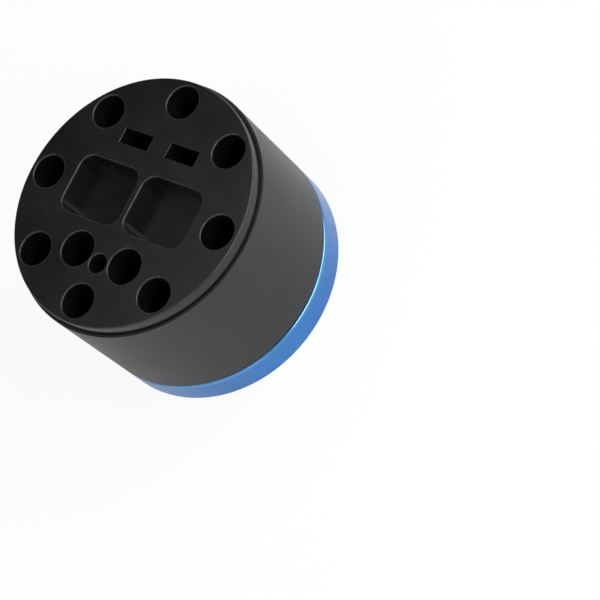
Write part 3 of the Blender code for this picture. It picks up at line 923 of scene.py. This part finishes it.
def thread(radius, low, high, pitch):
    """Outline of a cut thread from low to high, ending in a blunt tip."""
    root = radius - THREAD_DEPTH * pitch
    points = [(root, low)]
    height = low + pitch
    while height + pitch < high - radius / 2:
        points += [(root, height), (radius, height + pitch / 2)]
        height += pitch
    return points + [(root, height), (radius / 2, high)]


def cut_cross(screw, low, head):
    """Cuts a driver recess into a screw head, one arm after the other."""
    _, _, pivot = sizes()
    reach, wide = pivot.recess_reach * head, pivot.recess_width
    for width, depth in ((reach, wide), (wide, reach)):
        arm = block("recess_arm", width, depth, low - MM, low + pivot.recess_depth, pivot.recess_corner)
        combine(screw, [arm], "DIFFERENCE")


class HOLDER_OT_case_screws(bpy.types.Operator):
    """Countersunk screws from the turntable into the insert"""

    bl_idname = "holder.case_screws"
    bl_label = "Case Screws"

    def execute(self, context):
        least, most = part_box("case_screw_1")
        low, top, head = least.z, most.z, (most.x - least.x) / 2
        _, _, pivot = sizes()
        neck = low + head - pivot.case_shank
        outline = [(head, low), *thread(pivot.case_shank, neck, top, pivot.case_pitch)]
        pattern = turned("sunk_screw", outline, solid=True, steps=SMALL_STEPS)
        cut_cross(pattern, low, head)
        for i, screw in enumerate(copies(pattern, case_places())):
            finished(screw, "drum", "zinc_steel", f"case_screw_{i + 1}")
        return {"FINISHED"}


class HOLDER_OT_outer_sleeve(bpy.types.Operator):
    """Thin black tube round the drum"""

    bl_idname = "holder.outer_sleeve"
    bl_label = "Outer Sleeve"

    def execute(self, context):
        body, _, _ = sizes()
        low, high = SLEEVE_LOW.z, SLEEVE_HIGH.z
        bore = body.radius - body.sleeve_wall
        piece = turned("sleeve", stepped(bore, low, body.radius, high, bore))
        round_rings(piece, [(body.radius, low), (body.radius, high)], body.sleeve_edge, segments=4)
        # The inner lip rounding gets the lighter tone, a painted highlight.
        round_rings(piece, [(bore, low), (bore, high)], body.sleeve_lip, segments=2, worn=True)
        finished(piece, "drum", "black_anodised", "outer_sleeve")
        return {"FINISHED"}


class HOLDER_OT_tool_insert(bpy.types.Operator):
    """Moulded insert with holes, slots and trays"""

    bl_idname = "holder.tool_insert"
    bl_label = "Tool Insert"

    def execute(self, context):
        body, face, _ = sizes()
        collar = body.radius - body.sleeve_wall - face.collar_gap
        collar_foot, inside = SLEEVE_HIGH.z - face.collar_depth, face.radius - face.skirt
        outline = [
            (face.radius, face.top),
            (collar, SLEEVE_HIGH.z),
            *stepped(collar, collar_foot, face.radius, face.foot, inside, face.top - face.plate),
        ]
        piece = turned("pocket_insert", outline, solid=True)
        # The face's rim rounding gets the lighter tone, a painted highlight.
        round_rings(piece, [(face.radius, face.top)], face.rim_edge, segments=4, worn=True)
        for walls in self.walls(face):
            combine(piece, walls, "UNION")
        combine(piece, self.pockets(face), "DIFFERENCE")
        pilot = bar("pilot", face.pilot, face.foot - MM, face.pilot_end, SMALL_STEPS)
        combine(piece, copies(pilot, case_places()), "DIFFERENCE")
        self.soften(piece, face)
        finished(piece, "drum", "black_moulding", "tool_insert")
        return {"FINISHED"}

    def rounds(self, face):
        """Radius and places of every kind of round hole."""
        return [
            (face.outer_hole, around(face.outer_count, face.outer_circle)),
            (face.inner_hole, both_sides(face.inner_x, -face.inner_y)),
            (face.pin_hole, [(0.0, -face.pin_y, 0.0)]),
        ]

    def walls(self, face):
        """Outsides of the pocket walls and bosses, in groups that don't overlap."""
        high = face.top - face.plate / 2
        low = face.deep_floor - face.wall
        outer, inner, pin = (copies(bar("tube", r + face.wall, low, high), at) for r, at in self.rounds(face))
        bosses = copies(bar("boss", face.boss, face.foot, high, SMALL_STEPS), case_places())
        edge = 2 * face.wall
        tray_low = face.top - face.tray_depth - face.wall
        corner = face.tray_corner + face.wall
        tray = block("tray_wall", face.tray_width + edge, face.tray_length + edge, tray_low, high, corner)
        slot = block("slot_wall", face.slot_width + edge, face.slot_depth + edge, low, high, face.wall)
        trays = copies(tray, both_sides(face.tray_x, 0.0))
        slots = copies(slot, both_sides(face.slot_x, face.slot_y))
        return [outer + inner + bosses, pin, *map(list, zip(trays, slots))]

    def pockets(self, face):
        """Every pocket as a solid to cut away."""
        high = face.top + MM
        cuts = []
        for radius, places in self.rounds(face):
            cuts += copies(bar("hole", radius, face.deep_floor, high), places)
        tray_floor = face.top - face.tray_depth
        tray = block("tray", face.tray_width, face.tray_length, tray_floor, high, face.tray_corner)
        slot = block("slot", face.slot_width, face.slot_depth, face.deep_floor, high, face.slot_corner)
        cuts += copies(tray, both_sides(face.tray_x, 0.0))
        return cuts + copies(slot, both_sides(face.slot_x, face.slot_y))

    def soften(self, piece, face):
        """Rounds the pocket mouths, those of the slots least."""
        inside = face.radius - face.mouth
        half_width, half_depth = face.slot_width / 2 + NEAR, face.slot_depth / 2 + NEAR

        def on_mouth(edge):
            ends = [v.co for v in edge.verts]
            level = all(abs(end.z - face.top) < NEAR for end in ends)
            within = level and all(math.hypot(end.x, end.y) < inside for end in ends)
            return within and len(edge.link_faces) == 2 and edge.calc_face_angle(0.0) > SHARP_ANGLE

        def on_slot(edge):
            ends = [v.co for v in edge.verts]
            across = all(abs(abs(end.x) - face.slot_x) < half_width for end in ends)
            return across and all(abs(end.y - face.slot_y) < half_depth for end in ends)

        for width, slots in ((face.slot_mouth, True), (face.mouth, False)):
            # The mouth roundings get the lighter tone, a painted highlight.
            round_edges(piece, lambda edge: on_mouth(edge) and on_slot(edge) == slots, width, worn=True)


class HOLDER_OT_stage(bpy.types.Operator):
    """Pale floor, soft studio light and the camera"""

    bl_idname = "holder.stage"
    bl_label = "Stage"

    def execute(self, context):
        self.floor()
        self.world()
        for name, lamp in LAMPS.items():
            softbox(name, *lamp)
        self.camera()
        context.scene.view_settings.view_transform = "Standard"
        return {"FINISHED"}

    def floor(self):
        """A pale floor that is clear from below."""
        object_mode()
        bpy.ops.mesh.primitive_plane_add(size=FLOOR_SIZE, location=(0, 0, -FLOOR_DROP))
        floor = named("pale_floor")
        material = bpy.data.materials.new("pale_floor")
        tree = bare_nodes(material)
        plain = add(tree, "BsdfDiffuse", {"Color": tint("stage")})["BSDF"]
        glow = add(tree, "Emission", {"Strength": 1.0})["Emission"]
        above = add(tree, "MixShader", {0: seen_share(tree), 1: plain, 2: glow})["Shader"]
        below = add(tree, "BsdfTransparent")["BSDF"]
        behind = add(tree, "NewGeometry")["Backfacing"]
        both = add(tree, "MixShader", {0: behind, 1: above, 2: below})["Shader"]
        add(tree, "OutputMaterial", {"Surface": both})
        floor.data.materials.append(material)

    def world(self):
        """A room that is lighter near the floor than overhead."""
        world = bpy.data.worlds.new("studio")
        bpy.context.scene.world = world
        tree = bare_nodes(world)
        place = add(tree, "SeparateXYZ", {"Vector": add(tree, "TexCoord")["Generated"]})
        level = ramp(tree, place["Z"], *ROOM_HEIGHTS, *ROOM_LEVELS)
        room = add(tree, "Background", {"Strength": level})["Background"]
        add(tree, "OutputWorld", {"Surface": room})

    def camera(self):
        """A long lens, looking down and rolled to one side."""
        back = CAMERA_RIGHT.cross(CAMERA_UP)
        turn = Matrix((CAMERA_RIGHT, CAMERA_UP, back)).transposed().to_4x4()
        object_mode()
        bpy.ops.object.camera_add()
        camera = bpy.context.object
        camera.name = "camera"
        camera.data.sensor_width = CAMERA_SENSOR
        camera.data.lens = CAMERA_LENS
        camera.data.clip_start, camera.data.clip_end = CAMERA_CLIP
        camera.matrix_world = Matrix.Translation(CAMERA_PLACE) @ turn
        bpy.context.scene.camera = camera


def bare_nodes(owner):
    """The emptied nodes of a material or a world."""
    owner.use_nodes = True
    owner.node_tree.nodes.clear()
    return owner.node_tree


def seen_share(tree):
    """Share of plain white that a ray sees: one straight, one mirrored, none for other rays."""
    path = add(tree, "LightPath")
    bounced = math_node(tree, "MAXIMUM", path["Is Glossy Ray"], path["Is Transmission Ray"])
    straight = math_node(tree, "MULTIPLY", path["Is Camera Ray"], WHITE_SEEN)
    return math_node(tree, "MAXIMUM", straight, math_node(tree, "MULTIPLY", bounced, WHITE_MIRRORED))


def softbox(name, azimuth, elevation, distance, size, radiance):
    """An area lamp that faces the holder; its power follows from its size and brightness."""
    a, e = math.radians(azimuth), math.radians(elevation)
    towards = Vector((math.cos(a) * math.cos(e), math.sin(a) * math.cos(e), math.sin(e)))
    object_mode()
    bpy.ops.object.light_add(type="AREA", location=towards * distance)
    lamp = bpy.context.object
    lamp.name = name
    lamp.data.shape = "RECTANGLE"
    lamp.data.size, lamp.data.size_y = size
    lamp.data.energy = radiance * math.pi * size[0] * size[1]
    lamp.rotation_mode = "QUATERNION"
    lamp.rotation_quaternion = (-towards).to_track_quat("-Z", "Y")


class VIEW3D_PT_tool_holder(bpy.types.Panel):
    """Lists the steps and sizes of the tool holder"""

    bl_label = "Tool Holder"
    bl_idname = "VIEW3D_PT_tool_holder"
    bl_space_type = "VIEW_3D"
    bl_region_type = "UI"
    bl_category = "Tool Holder"

    def draw(self, context):
        for step in STEPS:
            self.layout.operator(step.bl_idname)
        for group in (getattr(context.scene, name) for name in GROUPS):
            box = self.layout.box()
            for name in group.__annotations__:
                box.prop(group, name)


GROUPS = {
    "holder_body": HolderBodySizes,
    "holder_face": HolderFaceSizes,
    "holder_pivot": HolderPivotSizes,
    "holder_finish": HolderFinishes,
}

STEPS = (
    HOLDER_OT_stage,
    HOLDER_OT_base_plate,
    HOLDER_OT_grip_pad,
    HOLDER_OT_bearing,
    HOLDER_OT_turntable,
    HOLDER_OT_retainer,
    HOLDER_OT_case_screws,
    HOLDER_OT_outer_sleeve,
    HOLDER_OT_tool_insert,
)


def register():
    for name, group in GROUPS.items():
        bpy.utils.register_class(group)
        setattr(bpy.types.Scene, name, PointerProperty(type=group))
    for step in (*STEPS, VIEW3D_PT_tool_holder):
        bpy.utils.register_class(step)


def unregister():
    for step in (VIEW3D_PT_tool_holder, *reversed(STEPS)):
        bpy.utils.unregister_class(step)
    for name, group in GROUPS.items():
        delattr(bpy.types.Scene, name)
        bpy.utils.unregister_class(group)


def main():
    register()
    bpy.ops.holder.stage()
    bpy.ops.holder.base_plate()
    bpy.ops.holder.grip_pad()
    bpy.ops.holder.bearing()
    bpy.ops.holder.turntable()
    bpy.ops.holder.retainer()
    bpy.ops.holder.case_screws()
    bpy.ops.holder.outer_sleeve()
    bpy.ops.holder.tool_insert()
    object_mode()


if __name__ == "__main__":
    main()
